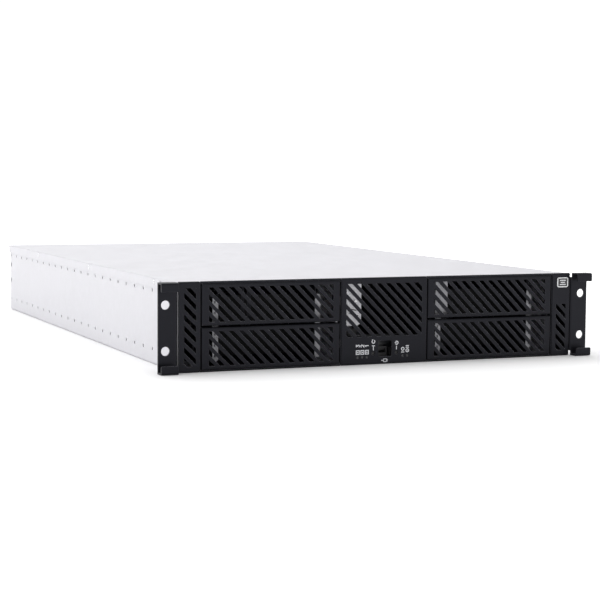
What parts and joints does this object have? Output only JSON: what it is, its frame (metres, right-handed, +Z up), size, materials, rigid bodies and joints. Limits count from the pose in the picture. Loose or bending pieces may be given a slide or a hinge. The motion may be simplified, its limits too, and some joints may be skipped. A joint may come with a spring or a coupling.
{
  "type": "rack storage enclosure",
  "caption": "Two-unit rack storage enclosure: folded zinc-steel body and lift-off lid, black front with slanted vents, pull-off bay covers, rack ears, drives, fans and power supply.",
  "frame": {"origin": "centre of the whole box's underside", "axes": "+X to the right seen from the front, +Y from the front to the back, +Z up"},
  "size_m": [0.48, 0.7316, 0.088],
  "materials": {
    "zinc_steel": "satin galvanised sheet",
    "black_coat": "fine-textured matt black powder coat",
    "bright_screw": "bright zinc",
    "black_screw": "black oxide",
    "spring_steel": "spring steel",
    "badge_white": "printed plastic",
    "circuit_board": "dark solder mask",
    "clear_pipe": "clear acrylic",
    "black_plastic": "moulded",
    "rocker_plastic": "gloss moulded",
    "port_metal": "tinned shell",
    "drive_alloy": "black e-coated casting with a bright pressed lid",
    "sink_alloy": "extruded alloy",
    "brass_post": "turned brass",
    "psu_steel": "plated steel",
    "psu_parts": "board with wound parts"
  },
  "bodies": {
    "chassis": {"chassis_base": "zinc_steel", "rear_panel": "zinc_steel", "front_frame": "black_coat", "vent_strip_left": "black_coat", "vent_strip_right": "black_coat", "badge_plate": "badge_white", "control_panel": "black_coat", "cover_springs": "spring_steel", "rack_ear_left": "black_coat", "rack_ear_right": "black_coat", "ear_screws": "black_screw", "control_board": "circuit_board", "status_lights": "clear_pipe", "button_switches": "black_plastic", "usb_socket": "black_plastic", "control_bracket": "zinc_steel", "bay_shields": "zinc_steel", "drive_cage_left": "black_coat", "drive_cage_right": "black_coat", "hard_drive_1": "drive_alloy", "hard_drive_2": "drive_alloy", "hard_drive_3": "drive_alloy", "hard_drive_4": "drive_alloy", "drive_boards": "circuit_board", "drive_screws": "bright_screw", "backplanes": "circuit_board", "drive_connectors": "black_plastic", "fan_wall": "zinc_steel", "fan_frame_1": "black_plastic", "fan_frame_2": "black_plastic", "fan_frame_3": "black_plastic", "fan_screws": "bright_screw", "mainboard": "circuit_board", "standoffs": "brass_post", "board_screws": "bright_screw", "heatsinks": "sink_alloy", "board_sockets": "black_plastic", "memory_modules": "circuit_board", "rear_ports": "port_metal", "io_shield": "port_metal", "slot_covers": "zinc_steel", "rear_screws": "bright_screw", "psu_case": "psu_steel", "psu_fan_frame": "black_plastic", "psu_board": "psu_parts", "power_inlet": "black_plastic", "switch_housing": "black_plastic"},
    "lid": {"top_cover": "zinc_steel", "lid_screws": "bright_screw"},
    "cover_upper_left": {"bay_cover_upper_left": "black_coat"},
    "cover_upper_right": {"bay_cover_upper_right": "black_coat"},
    "cover_lower_left": {"bay_cover_lower_left": "black_coat"},
    "cover_lower_right": {"bay_cover_lower_right": "black_coat"},
    "power_button_cap": {"power_button": "black_plastic"},
    "reset_button_cap": {"reset_button": "black_plastic"},
    "fan_1": {"fan_rotor_1": "black_plastic"},
    "fan_2": {"fan_rotor_2": "black_plastic"},
    "fan_3": {"fan_rotor_3": "black_plastic"},
    "psu_fan": {"psu_fan_rotor": "black_plastic"},
    "rocker": {"power_rocker": "rocker_plastic"}
  },
  "joints": [
    {"name": "lid_lift", "type": "slide", "parent": "chassis", "child": "lid", "axis": [0, 0, 1], "range_m": [0, 0.12]},
    {"name": "cover_upper_left_pull", "type": "slide", "parent": "chassis", "child": "cover_upper_left", "axis": [0, -1, 0], "range_m": [0, 0.06]},
    {"name": "cover_upper_right_pull", "type": "slide", "parent": "chassis", "child": "cover_upper_right", "axis": [0, -1, 0], "range_m": [0, 0.06]},
    {"name": "cover_lower_left_pull", "type": "slide", "parent": "chassis", "child": "cover_lower_left", "axis": [0, -1, 0], "range_m": [0, 0.06]},
    {"name": "cover_lower_right_pull", "type": "slide", "parent": "chassis", "child": "cover_lower_right", "axis": [0, -1, 0], "range_m": [0, 0.06]},
    {"name": "power_button_press", "type": "slide", "parent": "chassis", "child": "power_button_cap", "axis": [0, 1, 0], "range_m": [0, 0.0012], "stiffness_N_per_m": 400, "springref_m": -0.0005},
    {"name": "reset_button_press", "type": "slide", "parent": "chassis", "child": "reset_button_cap", "axis": [0, 1, 0], "range_m": [0, 0.0012], "stiffness_N_per_m": 400, "springref_m": -0.0005},
    {"name": "fan_1_spin", "type": "hinge", "parent": "chassis", "child": "fan_1", "pos_m": [-0.1, -0.0936, 0.043], "axis": [0, 1, 0], "continuous": true},
    {"name": "fan_2_spin", "type": "hinge", "parent": "chassis", "child": "fan_2", "pos_m": [0, -0.0936, 0.043], "axis": [0, 1, 0], "continuous": true},
    {"name": "fan_3_spin", "type": "hinge", "parent": "chassis", "child": "fan_3", "pos_m": [0.1, -0.0936, 0.043], "axis": [0, 1, 0], "continuous": true},
    {"name": "psu_fan_spin", "type": "hinge", "parent": "chassis", "child": "psu_fan", "pos_m": [0.147, 0.3457, 0.0402], "axis": [0, 1, 0], "continuous": true},
    {"name": "power_rocker_tilt", "type": "hinge", "parent": "chassis", "child": "rocker", "pos_m": [0.19, 0.3557, 0.024], "axis": [1, 0, 0], "range_deg": [-16, 0]}
  ]
}
